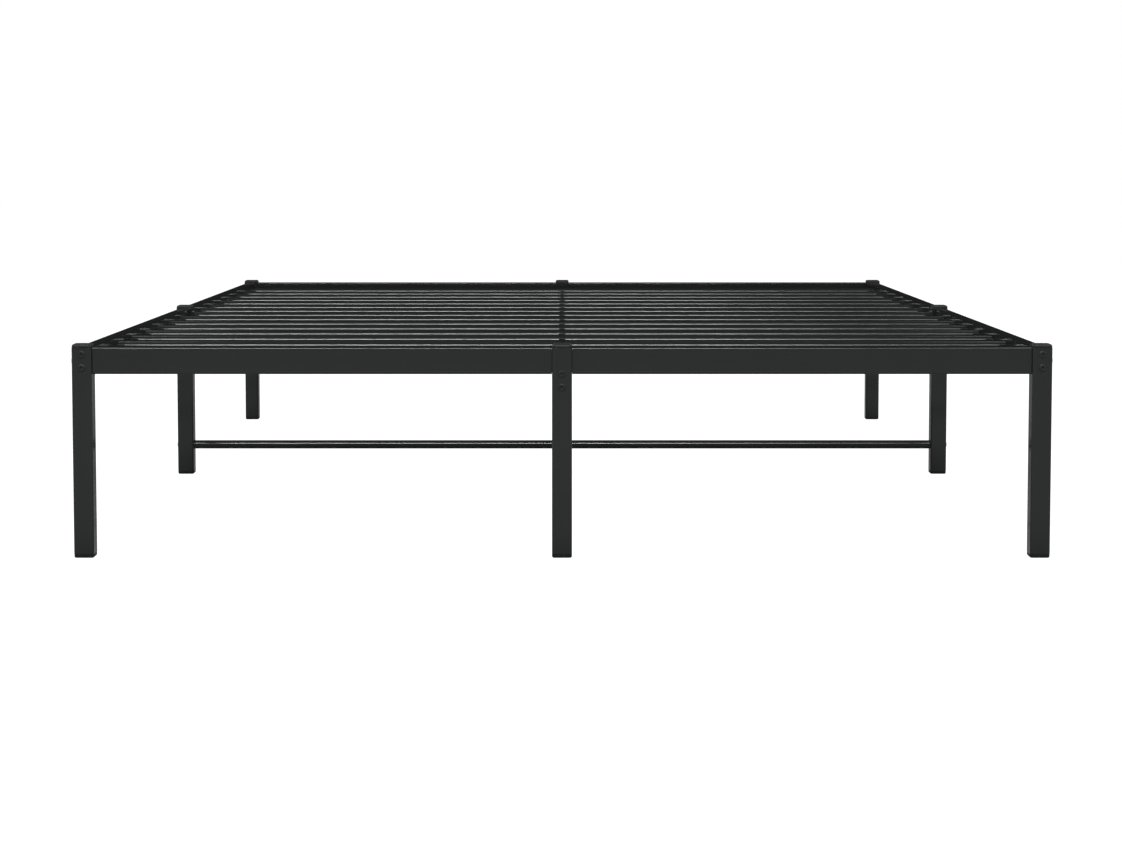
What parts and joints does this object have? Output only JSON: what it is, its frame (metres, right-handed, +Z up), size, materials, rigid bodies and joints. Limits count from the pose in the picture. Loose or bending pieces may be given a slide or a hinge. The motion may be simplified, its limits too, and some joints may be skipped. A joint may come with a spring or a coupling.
{
  "type": "metal bed frame",
  "caption": "Low black steel platform bed frame: square legs, rectangular rails, a centre beam, round cross slats in welded cradles and a low crossbar.",
  "frame": {"origin": "centre of the bed on the floor, level with the soles of the feet", "axes": "+Z up, +Y along the bed's length from the foot end to the head end, +X to the right as seen from the foot end"},
  "size_m": [1.4638, 2.0638, 0.321],
  "materials": {
    "powder_coat": "satin black powder coat with a fine orange-peel grain",
    "moulded_plastic": "matt black moulded polyethylene",
    "black_zinc": "black zinc plated, satin"
  },
  "bodies": {
    "root": {"leg_front_left": "powder_coat", "leg_front_centre": "powder_coat", "leg_front_right": "powder_coat", "leg_middle_left": "powder_coat", "leg_middle_centre": "powder_coat", "leg_middle_right": "powder_coat", "leg_rear_left": "powder_coat", "leg_rear_centre": "powder_coat", "leg_rear_right": "powder_coat", "foot_front_left": "moulded_plastic", "foot_front_centre": "moulded_plastic", "foot_front_right": "moulded_plastic", "foot_middle_left": "moulded_plastic", "foot_middle_centre": "moulded_plastic", "foot_middle_right": "moulded_plastic", "foot_rear_left": "moulded_plastic", "foot_rear_centre": "moulded_plastic", "foot_rear_right": "moulded_plastic", "cap_front_left": "moulded_plastic", "cap_front_centre": "moulded_plastic", "cap_front_right": "moulded_plastic", "cap_middle_left": "moulded_plastic", "cap_middle_right": "moulded_plastic", "cap_rear_left": "moulded_plastic", "cap_rear_centre": "moulded_plastic", "cap_rear_right": "moulded_plastic", "end_rail_front_left": "powder_coat", "side_rail_front_left": "powder_coat", "end_rail_front_right": "powder_coat", "side_rail_front_right": "powder_coat", "centre_beam_front": "powder_coat", "end_rail_rear_left": "powder_coat", "side_rail_rear_left": "powder_coat", "end_rail_rear_right": "powder_coat", "side_rail_rear_right": "powder_coat", "centre_beam_rear": "powder_coat", "crossbar": "powder_coat", "slat_01": "powder_coat", "slat_02": "powder_coat", "slat_03": "powder_coat", "slat_04": "powder_coat", "slat_05": "powder_coat", "slat_06": "powder_coat", "slat_07": "powder_coat", "slat_08": "powder_coat", "slat_09": "powder_coat", "slat_10": "powder_coat", "slat_11": "powder_coat", "slat_12": "powder_coat", "slat_13": "powder_coat", "slat_14": "powder_coat", "slat_15": "powder_coat", "bolts_front_left": "black_zinc", "bolts_front_centre": "black_zinc", "bolts_front_right": "black_zinc", "bolts_rear_left": "black_zinc", "bolts_rear_centre": "black_zinc", "bolts_rear_right": "black_zinc", "crossbar_bolt_left": "black_zinc", "crossbar_bolt_right": "black_zinc"}
  },
  "joints": []
}
